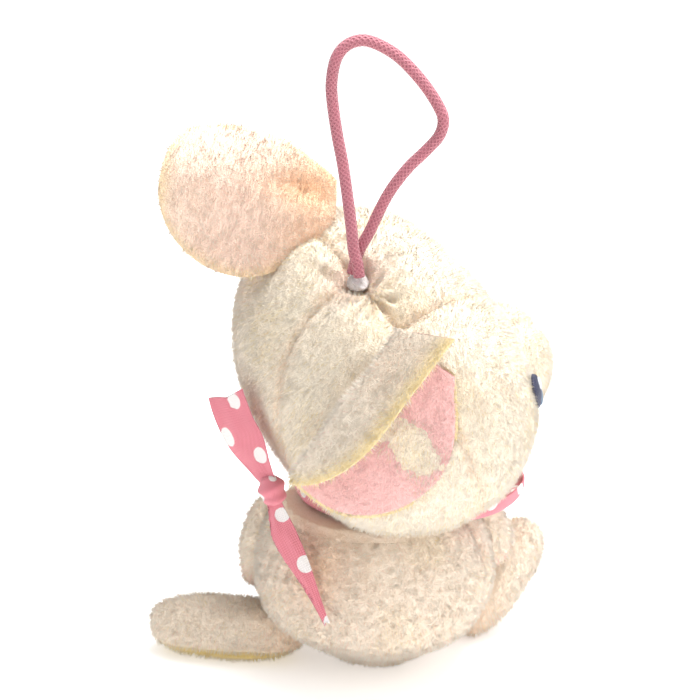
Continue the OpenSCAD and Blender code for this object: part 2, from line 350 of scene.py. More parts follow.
def plush_ground(name, colour, deep):
    """The knit and the roots of the pile, with painted shade between the tufts and along the seams and
    creases, blush, and tone that varies at random.
    """
    f = Finish(name, Roughness=0.95, Sheen_Weight=0.35, Sheen_Roughness=0.55, Sheen_Tint=SHEEN_TINT)
    f.shader.inputs["Specular IOR Level"].default_value = 0.1
    clump = f.noise(900, 4, 0.6)
    patch = f.noise(130, 3, 0.55)
    # painted shade: the darker deep colour fills the gaps between the clumps
    base = f.mix(clump.between(0.3, 0.6) * 0.5 + 0.5, deep, colour)
    base = f.mix(patch.between(0.45, 0.75) * 0.35, base, scaled(colour, 1.12))
    # pink blush, then peach and yellow tints that are mostly painted shade along the seams and in creases
    base = f.mix(f.attribute("pink"), base, PINK_BLUSH_AND_SHADE)
    base = f.mix(f.attribute("peach"), base, PEACH)
    base = f.mix(f.attribute("yellow"), base, YELLOW)
    f.feed("Base Color", base)
    f.bump(f.noise(2600, 3, 0.65) + clump * 0.8, 0.0004)
    return f.material


def pile_tone(name, colour):
    """One tone of the pile's fibres."""
    f = Finish(name, Roughness=0.8, Sheen_Weight=0.3, Sheen_Roughness=0.5, Sheen_Tint=SHEEN_TINT)
    f.shader.inputs["Base Color"].default_value = (*colour, 1)
    f.shader.inputs["Specular IOR Level"].default_value = 0.15
    return f.material


def ribbon_weave(colour, dot):
    """A plain-woven ribbon with printed dots; its UV map is in metres."""
    f = Finish("dotted ribbon weave", Roughness=0.7, Sheen_Weight=0.25, Sheen_Roughness=0.4)
    f.shader.inputs["Specular IOR Level"].default_value = 0.3
    u, v = f.uv()
    repeat, radius, thread = 0.0112, 0.00165, 0.00042
    edge = f.noise(2400, 2)

    def dots(shift):
        a = (u / repeat + shift).fract() - 0.5
        b = (v / repeat + shift).fract() - 0.5
        return (a * a + b * b).power(0.5) * repeat

    near = dots(0.12).min(dots(0.62)) + (edge - 0.5) * 0.0003
    printed = 1 - near.between(radius - 0.0001, radius + 0.00012)
    warp = (u * (math.tau / thread)).sin()
    weft = (v * (math.tau / thread)).sin()
    over = warp * weft
    lit = over.between(-0.6, 0.7)
    cloth = f.mix(lit, scaled(colour, 0.72), blended(colour, (1, 0.72, 0.74), 0.3))
    cloth = f.mix(f.noise(150, 3).between(0.4, 0.8) * 0.25, cloth, scaled(colour, 0.8))
    white = f.mix(lit, scaled(dot, 0.8), dot)
    f.feed("Base Color", f.mix(printed, cloth, white))
    f.bump(over * 0.5 + warp.max(weft) * 0.3, 0.00012)
    return f.material


def cord_braid(colour):
    """Braided yarn over elastic; its UV map runs round and, in metres, along the cord."""
    f = Finish("braided elastic cord", Roughness=0.62, Sheen_Weight=0.3, Sheen_Roughness=0.35)
    u, v = f.uv()
    left = (u * (math.tau * YARNS) + v * (math.tau / YARN_PITCH / MM)).sin()
    right = (u * (math.tau * YARNS) - v * (math.tau / YARN_PITCH / MM)).sin()
    yarn = left.max(right)
    # painted highlight: the crowns of the yarns are lighter and pinker
    base = f.mix(yarn.between(-0.6, 0.9), scaled(colour, 0.94), blended(colour, (0.9, 0.5, 0.5), 0.12))
    base = f.mix(f.noise(260, 3).between(0.45, 0.7) * 0.4, base, scaled(colour, 1.25))
    speck = f.noise(1500, 1).between(0.72, 0.76) * f.noise(90, 1).between(0.56, 0.62)
    f.feed("Base Color", f.mix(speck, base, (0.10, 0.035, 0.02)))
    f.bump(yarn + f.noise(6000, 2) * 0.3, 0.00012)
    return f.material


def stitched(name, colour, light, thread=0.00032):
    """Satin stitch: its UV map's first axis, in metres, crosses the threads."""
    f = Finish(name, Roughness=0.42, Sheen_Weight=0.15, Sheen_Roughness=0.3)
    u, v = f.uv()
    ridge = (u * (math.tau / thread)).sin()
    twist = (u * (math.tau / thread) + v * (math.tau / 0.0006)).sin()
    # painted highlight: the thread ridges take the light colour, and random patches lean to it
    base = f.mix((ridge * 0.7 + twist * 0.3).between(-0.7, 0.8), colour, light)
    f.feed("Base Color", f.mix(f.noise(1800, 2).between(0.5, 0.7) * 0.3, base, light))
    f.bump(ridge * 0.8 + twist * 0.2, 0.00008)
    return f.material


def stuffing_fibre(name, colour):
    """Loose fibre filling."""
    f = Finish(name, Roughness=0.9, Sheen_Weight=0.4, Sheen_Roughness=0.6)
    strand = f.noise(1400, 5, 0.7)
    f.feed("Base Color", f.mix(strand.between(0.35, 0.65), scaled(colour, 0.78), colour))
    f.bump(strand, 0.0005)
    return f.material


MATERIALS = {}


def make_materials():
    plush = bpy.context.scene.plush_mouse
    trim = bpy.context.scene.mouse_trim
    cream, ground, lining = tuple(plush.cream), tuple(plush.ground), tuple(plush.lining)
    white = (1.0, 0.95, 0.86)
    MATERIALS["plush"] = plush_ground("cream plush ground", cream, ground)
    MATERIALS["lining"] = plush_ground("pink plush ground", lining, scaled(lining, 0.8))
    MATERIALS["tones"] = [
        pile_tone("cream pile", cream),
        pile_tone("pale cream pile", blended(cream, white, 0.25)),
        pile_tone("warm cream pile", blended(cream, (0.93, 0.70, 0.52), 0.16)),
        # the blush, peach and yellow piles carry the painted shade of the skin they stand on, as well as its
        # blush and tone
        pile_tone("blush and shade pile", blended(cream, PINK_BLUSH_AND_SHADE, 0.5)),
        pile_tone("peach pile", blended(cream, PEACH, 0.6)),
        pile_tone("yellow pile", blended(cream, YELLOW, 0.75)),
    ]
    MATERIALS["pink tones"] = [
        pile_tone("pink pile", lining),
        pile_tone("pale pink pile", blended(lining, (1, 0.82, 0.8), 0.5)),
        pile_tone("deep pink pile", scaled(lining, 0.9)),
    ]
    MATERIALS["ribbon"] = ribbon_weave(tuple(trim.ribbon), tuple(trim.dot))
    MATERIALS["cord"] = cord_braid(tuple(trim.cord))
    MATERIALS["navy"] = stitched("navy satin stitch", (0.012, 0.014, 0.04), (0.05, 0.055, 0.12))
    MATERIALS["white stitch"] = stitched("white satin stitch", (0.62, 0.64, 0.68), (0.9, 0.9, 0.92))
    MATERIALS["blue stitch"] = stitched("grey blue satin stitch", (0.12, 0.18, 0.26), (0.25, 0.33, 0.42))
    MATERIALS["pink stitch"] = stitched("pink satin stitch", (0.72, 0.24, 0.28), (0.9, 0.46, 0.48))
    MATERIALS["tack"] = stuffing_fibre("waxed tack thread", (0.82, 0.76, 0.74))
    MATERIALS["stuffing"] = stuffing_fibre("white fibre filling", (0.85, 0.85, 0.84))


# ---- mesh helpers ----

# how often the round of a skin and of a filling is divided
SKIN_DETAIL = 7
FILL_DETAIL = 5


def points_of(bm):
    return np.array([v.co for v in bm.verts], float).reshape(-1, 3)


def set_points(bm, points):
    for v, p in zip(bm.verts, points):
        v.co = p


def grain(points, size, seed=0.0):
    """Smooth noise from -1 to 1 at each point; size is the distance between its bumps, in millimetres."""
    shift = Vector((seed * 17.3, seed * 5.1, seed * 9.7))
    return np.array([noise.noise(Vector(p) / size + shift) for p in points])


def moved(matrix, points):
    """The points, carried by a matrix."""
    return (np.array(matrix.to_3x3()) @ points.T).T + np.array(matrix.translation)


def unit_rows(ways):
    return ways / np.linalg.norm(ways, axis=1)[:, None]


def apart(points, place):
    """Distance of each point from a place."""
    return np.linalg.norm(points - np.array(place), axis=1)


def settle(height, low):
    """Softens heights that would sink below low so that they end just above 0."""
    return np.where(height < low, low - low * (1 - np.exp(-(low - height) / low)), height)


def round_body(size, detail):
    """A spheroid with these three radii."""
    bm = bmesh.new()
    bmesh.ops.create_icosphere(bm, subdivisions=detail, radius=1)
    bmesh.ops.scale(bm, vec=size, verts=bm.verts)
    return bm


def lay_uv(bm, spot):
    """Writes a UV map in metres; spot gives a loop's place in millimetres."""
    uv = bm.loops.layers.uv.new("UVMap")
    for face in bm.faces:
        for loop in face.loops:
            x, y = spot(face, loop)
            loop[uv].uv = (x * MM, y * MM)


def bell(distance, width):
    return np.exp(-((distance / width) ** 2))


def smooth_step(x):
    x = np.clip(x, 0, 1)
    return x * x * (3 - 2 * x)


def keep_side(bm, point, normal):
    """Cuts the mesh at a plane and keeps what the normal points away from."""
    bmesh.ops.bisect_plane(
        bm,
        geom=bm.verts[:] + bm.edges[:] + bm.faces[:],
        dist=1e-6,
        plane_co=point,
        plane_no=normal,
        clear_outer=True,
    )


def to_object(name, bm, materials, tints=None):
    """A finished object, in metres, from a bmesh in millimetres."""
    bmesh.ops.scale(bm, vec=(MM, MM, MM), verts=bm.verts)
    mesh = bpy.data.meshes.new(name)
    bm.to_mesh(mesh)
    bm.free()
    for polygon in mesh.polygons:
        polygon.use_smooth = True
    for material in materials:
        mesh.materials.append(material)
    for key in ("pink", "peach", "yellow") if tints is not None else ():
        data = mesh.attributes.new(key, "FLOAT", "POINT").data
        values = tints.get(key, np.zeros(len(mesh.vertices)))
        data.foreach_set("value", np.clip(values, 0, 1).astype(np.float32))
    obj = bpy.data.objects.new(name, mesh)
    bpy.context.scene.collection.objects.link(obj)
    return obj


def join_frame(obj, body, slot, *nodes):
    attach(obj, body)
    if nodes:
        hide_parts(*nodes)
    return obj


def thicken(bm, thickness):
    """Gives an open panel a turned-in wall."""
    bmesh.ops.recalc_face_normals(bm, faces=bm.faces)
    bmesh.ops.solidify(bm, geom=bm.faces[:], thickness=thickness)


# the lay of the pile: combed down and back
LAY = Vector((0.15, 0.35, -1)).normalized()
# half the width of a tuft, in metres, and the most tufts of one piece of pile
FIBRE_WIDE = 0.000055
MOST_TUFTS = 49000


def grow_pile(
    skin, name, body, slot, tones, length=None, density=None, seed=1, lean=0.7, keep=None, curl=0.45
):
    """Tufts of pile that stand on a skin's outer faces, each a thin closed spike."""
    settings = bpy.context.scene.plush_mouse
    length = length or settings.pile
    density = density or settings.density
    mesh = skin.data
    mesh.calc_loop_triangles()
    count = len(mesh.loop_triangles)
    corners = np.empty(count * 3, np.int64)
    mesh.loop_triangles.foreach_get("vertices", corners)
    corners = corners.reshape(-1, 3)
    co = np.empty(len(mesh.vertices) * 3)
    mesh.vertices.foreach_get("co", co)
    co = co.reshape(-1, 3)
    normals = np.empty(len(mesh.vertices) * 3)
    mesh.vertices.foreach_get("normal", normals)
    normals = normals.reshape(-1, 3)
    a, b, c = co[corners[:, 0]], co[corners[:, 1]], co[corners[:, 2]]
    cross = np.cross(b - a, c - a)
    area = np.linalg.norm(cross, axis=1) / 2
    if keep is not None:
        area = area * keep((a + b + c) / 3 / MM, cross / (2 * area[:, None] + 1e-15))
    rng = np.random.default_rng(seed)
    total = int(min(area.sum() * 1e6 * density, MOST_TUFTS))
    pick = rng.choice(count, total, p=area / area.sum())
    r1, r2 = np.sqrt(rng.random(total)), rng.random(total)
    w = np.stack([1 - r1, r1 * (1 - r2), r1 * r2], 1)[:, :, None]
    foot = (co[corners[pick]] * w).sum(1)
    up = (normals[corners[pick]] * w).sum(1)
    up /= np.linalg.norm(up, axis=1)[:, None] + 1e-12
    lay = np.array(LAY)[None] - up * (up @ np.array(LAY))[:, None]
    clump = np.stack([grain(foot / MM, 1.6, seed + k) for k in range(3)], 1)
    swirl = np.stack([grain(foot / MM, 7, seed + 5 + k) for k in range(3)], 1)
    way = up + lay * lean + clump * curl + swirl * 0.45 + rng.normal(0, 0.12, (total, 3))
    dip = (way * up).sum(1)
    way += up * np.maximum(0.35 - dip, 0)[:, None]
    way = unit_rows(way)
    side = unit_rows(np.cross(way, rng.normal(size=(total, 3))))
    third = np.cross(way, side)
    long = length * (0.65 + 0.7 * rng.random(total)) * (1 + 0.25 * clump[:, 0])
    wide = FIBRE_WIDE * (0.8 + 0.5 * rng.random(total))

    spike = bmesh.new()
    bmesh.ops.create_cone(spike, cap_ends=True, segments=3, radius1=1, radius2=0, depth=1)
    bmesh.ops.remove_doubles(spike, verts=spike.verts, dist=1e-5)
    bmesh.ops.triangulate(spike, faces=spike.faces)
    spike.verts.index_update()
    shape = points_of(spike)
    faces = np.array([[v.index for v in f.verts] for f in spike.faces])
    spike.free()

    sink = 0.12
    place = (
        foot[:, None]
        + shape[None, :, 0, None] * (side * wide[:, None])[:, None]
        + shape[None, :, 1, None] * (third * wide[:, None])[:, None]
        + (shape[None, :, 2, None] + 0.5 - sink) * (way * long[:, None])[:, None]
    )
    n = len(shape)
    index = (faces[None] + (np.arange(total) * n)[:, None, None]).reshape(-1, 3)
    pile = bpy.data.meshes.new(name)
    pile.vertices.add(total * n)
    pile.vertices.foreach_set("co", place.reshape(-1))
    pile.loops.add(index.size)
    pile.loops.foreach_set("vertex_index", index.reshape(-1).astype(np.int32))
    pile.polygons.add(len(index))
    pile.polygons.foreach_set("loop_start", np.arange(0, index.size, 3, dtype=np.int32))
    shade = pick_tones(mesh, corners[pick], w[:, :, 0], len(tones), rng, clump[:, 1])
    pile.polygons.foreach_set("material_index", np.repeat(shade, len(faces)).astype(np.int32))
    pile.update(calc_edges=True)
    for tone in tones:
        pile.materials.append(tone)
    # the pile is lit as the soft surface that it makes together
    soft = unit_rows(up * 0.8 + way * 0.35)
    pile.normals_split_custom_set_from_vertices(np.repeat(soft, n, axis=0))
    obj = bpy.data.objects.new(name, pile)
    bpy.context.scene.collection.objects.link(obj)
    return join_frame(obj, body, slot)


def pick_tones(mesh, corners, w, tones, rng, clump):
    """A tone for each tuft: mixed creams, and the tint of the skin it stands on, so the pile repeats the
    skin's painted shade.
    """
    luck = rng.random(len(corners)) + clump * 0.25
    shade = np.where(luck < 0.34, 1, np.where(luck > 0.8, 2, 0))
    if tones < 6:
        return np.minimum(shade, tones - 1)
    for tone, key in ((3, "pink"), (4, "peach"), (5, "yellow")):
        values = np.empty(len(mesh.vertices), np.float32)
        mesh.attributes[key].data.foreach_get("value", values)
        share = (values[corners] * w).sum(1)
        shade = np.where(rng.random(len(corners)) < share, tone, shade)
    return shade


# ---- head ----


def sector_plane(angle):
    """Normal of the plane through the head's middle at an angle from the crown to the right ear."""
    a = math.radians(angle)
    return Vector((-math.cos(a), 0, -math.sin(a)))


BACK_SEAM_NORMAL = Vector((math.cos(BACK_SEAM_TILT), 0, -math.sin(BACK_SEAM_TILT)))
BACK_SEAM_POINT = Vector((0, 0, BACK_SEAM_Z))


def head_seams(p):
    """Distance from each seam of the head, in millimetres, with how deep it is pulled there."""
    x, y, z = p.T
    far = 60.0
    from_exit = apart(p, EXIT_ON_HEAD)
    back = np.abs((x - BACK_SEAM_POINT[0]) * BACK_SEAM_NORMAL[0] + (z - BACK_SEAM_Z) * BACK_SEAM_NORMAL[2])
    seams = [
        (np.abs(y), 1.1 * np.clip(1.25 - from_exit / 44, 0.1, 1)),
        (np.where(y > 0, back, far), 0.95 * np.clip(1.2 - from_exit / 42, 0.12, 1)),
    ]
    for angle, deep in ((FOREHEAD_RIGHT, 1.0), (FOREHEAD_LEFT, 0.6), (180, 0.5)):
        n = sector_plane(angle)
        a = math.radians(angle)
        ahead = -math.sin(a) * x + math.cos(a) * z > 0
        on = (y < 0) & ahead
        reach = np.clip(1.25 - from_exit / (34 if angle == FOREHEAD_RIGHT else 60), 0.12, 1)
        seams.append((np.where(on, np.abs(x * n[0] + z * n[2]), far), deep * reach))
    return seams


def shape_head(p):
    """Stuffed, pulled in at its seams and at the cord, and flat where it sits on the neck."""
    out = unit_rows(p / np.array(HEAD_SIZE) ** 2)
    move = grain(p, 26, 3) * 0.7 + grain(p, 11, 4) * 0.3 - 0.3
    nearest = np.full(len(p), 60.0)
    for distance, deep in head_seams(p):
        move -= deep * (0.8 * bell(distance, 0.9) + 0.9 * bell(distance, 4.5))
        move += deep * 0.25 * bell(distance - 8, 4)
        nearest = np.minimum(nearest, distance)
    from_exit = apart(p, EXIT_ON_HEAD)
    move -= 3.4 * bell(from_exit, 3.6) + 1.1 * bell(from_exit, 9)
    # gathers that run away from the seams
    across = grain(np.stack([p[:, 0], p[:, 2] * 0.3, p[:, 1] * 0.1], 1), 2.7, 6)
    move += across * 0.55 * np.exp(-nearest / 4.5) * (0.4 + 0.9 * bell(from_exit, 24))
    angle = np.arctan2(p[:, 1], p[:, 0])
    move += 0.55 * np.sin(angle * 9 + grain(p, 5, 2) * 2.2) * bell(from_exit - 7, 5.5)
    move += grain(p, 1.3, 7) * 0.16 + grain(p, 2.6, 8) * 0.16
    p = p + out * move[:, None]
    world = moved(HEAD, p)
    # the filling is flatter over the right cheek and sinks to the nape
    side = np.array((-0.688, -0.448, 0.571))
    proud = np.maximum((world - np.array(HEAD_CENTRE)) @ side - 19, 0)
    world -= side[None] * (proud * 0.30)[:, None]
    nape = bell(apart(world, (-6, 22, 44)), 15)
    world += nape[:, None] * np.array((-0.4, 1.2, -2.2))
    low = HEAD_BASE + 1.2
    depth = np.maximum(low - world[:, 2], 0)
    world[:, 2] = np.where(depth > 0, low - 1.1 * (1 - np.exp(-depth / 1.1)), world[:, 2])
    return world


def head_tints(p):
    """Pink, peach and yellow tints, by place on the head, in its own frame: peach along the seams is painted
    shade, besides blush on the cheeks, pink round the cord exit and tone that varies at random.
    """
    from_exit = apart(p, EXIT_ON_HEAD)
    nearest = np.min([d for d, _ in head_seams(p)], axis=0)
    cheek_r = bell(apart(p, (-27, -12, -12)), 6.5)
    cheek_l = bell(apart(p, (25, -12, -12)), 6.5)
    return {
        "pink": 0.42 * bell(from_exit, 5.5) + 0.22 * (cheek_r + cheek_l),
        # painted shade in the seam grooves, then random peach patches
        "peach": 0.20 * bell(nearest, 1.6) + 0.10 * bell(grain(p, 14, 9) - 0.5, 0.3),
        "yellow": 0.05 + 0.10 * bell(grain(p, 12, 12) - 0.4, 0.3),
    }


MIDDLE = Vector((0, 0, 0))
BEHIND = (MIDDLE, Vector((0, -1, 0)))
IN_FRONT = (MIDDLE, Vector((0, 1, 0)))
# each panel lies on one side of these planes
HEAD_PANELS = {
    "head_back_left": (BEHIND, (BACK_SEAM_POINT, -BACK_SEAM_NORMAL)),
    "head_back_right": (BEHIND, (BACK_SEAM_POINT, BACK_SEAM_NORMAL)),
    "head_forehead": (
        IN_FRONT, (MIDDLE, sector_plane(FOREHEAD_RIGHT)), (MIDDLE, -sector_plane(FOREHEAD_LEFT))
    ),
    "head_face_right": (IN_FRONT, (MIDDLE, -sector_plane(FOREHEAD_RIGHT)), (MIDDLE, sector_plane(180))),
    "head_face_left": (IN_FRONT, (MIDDLE, sector_plane(FOREHEAD_LEFT)), (MIDDLE, -sector_plane(180))),
}


class MOUSE_OT_head(bpy.types.Operator):
    """Sews the five panels of the head and fills it"""

    bl_idname = "mouse.head"
    bl_label = "Head"

    def execute(self, context):
        for seed, (name, cuts) in enumerate(HEAD_PANELS.items()):
            bm = round_body(HEAD_SIZE, SKIN_DETAIL)
            for point, normal in cuts:
                keep_side(bm, point, normal)
            local = points_of(bm)
            tints = head_tints(local)
            set_points(bm, shape_head(local))
            panel = to_object(name + "_plush", bm, [MATERIALS["plush"]], tints)
            grow_pile(panel, name + "_pile", "head", "cream_plush", MATERIALS["tones"], seed=seed + 11)
            close_panel(panel)
            join_frame(panel, "head", "cream_plush", name)
        bm = round_body(HEAD_SIZE, FILL_DETAIL)
        set_points(bm, shape_head(points_of(bm) * 0.86))
        filling = to_object("head_filling", bm, [MATERIALS["stuffing"]])
        join_frame(filling, "head", "fibre_fill", "head_stuffing")
        return {"FINISHED"}


def close_panel(obj, wall=1.0):
    """Turns a panel's open edge in and gives it an inner face."""
    bm = bmesh.new()
    bm.from_mesh(obj.data)
    thicken(bm, wall * MM)
    bm.to_mesh(obj.data)
    bm.free()


class MOUSE_OT_face(bpy.types.Operator):
    """Makes the muzzle, the nose, the mouth and the eyes"""

    bl_idname = "mouse.face"
    bl_label = "Face"

    def execute(self, context):
        bm = bmesh.new()
        bmesh.ops.create_icosphere(bm, subdivisions=6, radius=MUZZLE_R)
        p = points_of(bm)
        out = p / MUZZLE_R
        middle = np.abs(p[:, 0]) + np.where(p[:, 1] < 0, 0, 60)
        move = grain(p, 9, 21) * 0.35 + grain(p, 1.4, 22) * 0.14 - 0.35
        move -= 0.9 * bell(middle, 1.0) + 0.5 * bell(middle, 3.5)
        local = p + out * move[:, None] + np.array(MUZZLE_CENTRE)
        world = moved(HEAD, local)
        set_points(bm, world)
        tints = {"yellow": 0.08 + 0.1 * bell(grain(p, 8, 23) - 0.4, 0.3), "pink": 0.1 * bell(middle, 3)}
        muzzle = to_object("muzzle_plush", bm, [MATERIALS["plush"]], tints)
        head_in = HEAD.inverted()

        def outside(middles, _normals):
            q = moved(head_in, middles)
            return (np.linalg.norm(q / np.array(HEAD_SIZE), axis=1) > 0.95).astype(float)

        grow_pile(muzzle, "muzzle_pile", "head", "cream_plush", MATERIALS["tones"], seed=31, keep=outside)
        join_frame(muzzle, "head", "cream_plush", "muzzle")
        for side, name in ((1, "eye_left"), (-1, "eye_right")):
            self.eye(side, name)
        self.nose()
        return {"FINISHED"}

    def patch(self, name, wide, tall, place, slot, material, lift=0.7, nodes=(), threads=0.32):
        """A satin-stitched oval: place maps a point of the oval to the face."""
        bm = bmesh.new()
        bmesh.ops.create_grid(bm, x_segments=72, y_segments=72, size=1)
        flat = {}
        for v in bm.verts:
            a, b = v.co.x, v.co.y
            x = a * math.sqrt(1 - b * b / 2) * wide
            y = b * math.sqrt(1 - a * a / 2) * tall
            rim = max(0.0, 1 - (x / wide) ** 2 - (y / tall) ** 2)
            ridge = 0.06 * math.sin(math.tau * x / threads)
            flat[v] = (x, y)
            v.co = place(x, y, lift * rim**0.4 + ridge * rim**0.3 - 0.35 * (rim < 0.02))
        lay_uv(bm, lambda face, loop: flat[loop.vert])
        bmesh.ops.recalc_face_normals(bm, faces=bm.faces)
        bmesh.ops.solidify(bm, geom=bm.faces[:], thickness=0.3)
        return join_frame(to_object(name, bm, [material]), "head", slot, *nodes)

    def on_head(self, turn, drop):
        """A place on the face: across, up and out from a direction of the head."""

        def place(x, y, z):
            q = Matrix.Rotation(turn, 3, "Z") @ Matrix.Rotation(drop, 3, "X") @ Vector((x, -HEAD_ROUND, y))
            q = q * head_reach(q.normalized()) / q.length
            return HEAD @ (q * (1 + z / HEAD_ROUND))

        return place

    def eye(self, side, name):
        place = self.on_head(side * EYE_TURN, EYE_DROP)
        self.patch(name + "_stitch", 2.7, 3.7, place, "dark_thread", MATERIALS["navy"], 0.8, (name,))
        shine = lambda x, y, z: place(x * 1.0 - side * 0.9, y + 1.2, z + 0.72)
        self.patch(name + "_shine", 0.95, 1.2, shine, "dark_thread", MATERIALS["white stitch"], 0.3)
        iris = lambda x, y, z: place(x + side * 0.2, y - 1.5, z + 0.68)
        self.patch(name + "_iris", 1.5, 1.1, iris, "dark_thread", MATERIALS["blue stitch"], 0.3)

    def nose(self):
        def place(x, y, z):
            r = MUZZLE_R + z
            a, b = x / MUZZLE_R, NOSE_LIFT + y / MUZZLE_R
            q = Vector((math.sin(a) * math.cos(b), -math.cos(a) * math.cos(b), math.sin(b))) * r
            return HEAD @ (MUZZLE_CENTRE + q)

        self.patch("nose_stitch", 3.3, 2.4, place, "pink_thread", MATERIALS["pink stitch"], 0.8, ("nose",))
        for side in (-1, 1):
            def line(x, y, z, side=side):
                bend = 3.2 * (1 - (x / 2.6) ** 2) * -0.35
                return place(side * 2.6 + x, y - 7.2 + bend, z)

            self.patch(f"mouth_stitch_{'left' if side > 0 else 'right'}", 2.8, 0.42, line,
                       "pink_thread", MATERIALS["pink stitch"], 0.5)


# ---- ears ----


def ear_half_width(v):
    """Half the width of the ear at a share of its length, root to tip."""
    y = v * EAR_LENGTH
    top = EAR_LENGTH - EAR_WIDTH / 2
    if y >= top:
        return math.sqrt(max(0.0, (EAR_WIDTH / 2) ** 2 - (y - top) ** 2))
    share = y / top
    return EAR_ROOT / 2 + (EAR_WIDTH / 2 - EAR_ROOT / 2) * math.sin(share * math.pi / 2)


def fold_profile(bend, fold, cup):
    """The ear's cross line, as a function of the distance from its fold."""
    step = 0.25
    places = {0: (0.0, 0.0, 0.0)}
    for side in (1, -1):
        x = z = turn = 0.0
        for k in range(1, 140):
            s = k * step
            if side < 0 and s <= fold:
                turn += math.radians(bend) * step / fold
            turn += math.radians(cup) * step / 20
            x += side * math.cos(turn) * step
            z += math.sin(turn) * step
            places[side * k] = (x, z, turn)

    def at(s):
        k = s / step
        low = math.floor(k)
        share = k - low
        a, b = places[low], places[low + 1]
        x, z, turn = (a[i] + (b[i] - a[i]) * share for i in range(3))
        sign = 1 if s >= 0 else -1
        normal = (-math.sin(turn) * sign, math.cos(turn))
        return x, z, normal

    return at


def full_reach(flap, middle):
    """How far the folded side of an ear reaches from its fold."""
    return EAR_WIDTH / 2 * (1 + flap) - middle


def ear_layer(bm, middle, profile, low, high, inset, curl, seed, flap=0.0, ripple=0.5):
    """A soft flat pad between two heights over the ear's own surface, curled along its length.

    A flap above 0 makes the folded side run straight to a slanting root, wider by that share."""
    bmesh.ops.create_grid(bm, x_segments=90, y_segments=90, size=1)
    top = bm.faces[:]
    bmesh.ops.recalc_face_normals(bm, faces=top)
    data = []
    for v in bm.verts:
        data.append((v.co.x, (v.co.y + 1) / 2))
    made = bmesh.ops.duplicate(bm, geom=bm.verts[:] + bm.edges[:] + bm.faces[:])
    under = [f for f in made["geom"] if isinstance(f, bmesh.types.BMFace)]
    bmesh.ops.reverse_faces(bm, faces=under)
    data = data + data
    half = len(data) // 2
    edge = bm.verts.layers.float.new("edge")
    for k, v in enumerate(bm.verts):
        u, rise = data[k]
        a = math.sin(u * math.pi / 2)
        b = 0.5 - 0.5 * math.cos(rise * math.pi)
        grow = (EAR_LENGTH - inset) / EAR_LENGTH
        y = b * (EAR_LENGTH * grow + ROOT_PAST) - ROOT_PAST
        w = max(0.0, ear_half_width(b) - inset * (1 if b > 0.1 else b * 10))
        if flap > 0 and a < 0:
            full = EAR_WIDTH / 2
            straight = EAR_LENGTH * (1 - b) > full
            share = 1 if straight else (ear_half_width(b) / full) ** 0.8
            w = max(0.0, full * (1 + flap) * share - inset)
        s = a * w + middle
        if flap > 0:
            y -= ROOT_SLANT * max(0.0, -s) / full_reach(flap, middle) * (1 - b)
        rim = max(0.0, 1 - a * a) ** 0.5
        end = min(1.0, max(0.0, (1 - b) * 9)) ** 0.5
        swell = (rim ** 0.6) * end
        centre = (low + high) / 2
        out = (high - centre) * swell if k < half else (low - centre) * swell
        x, z, (nx, nz) = profile(s)
        wave = ripple * noise.noise(Vector((s / 7, y / 9, seed)))
        h = centre + out + wave + 0.12 * noise.noise(Vector((s / 1.1, y / 1.1, seed + 3 * (k < half))))
        px, pz = x + nx * h, z + nz * h
        lift = curl * (y / EAR_LENGTH) ** 2 + 1.6 * math.exp(-((s + 3) / 3) ** 2 - ((y - 5) / 6) ** 2)
        v.co = (px, y, pz + lift)
        v[edge] = min((1 - abs(a)) * w, (1 - b) * EAR_LENGTH)
    bmesh.ops.remove_doubles(bm, verts=bm.verts, dist=0.004)


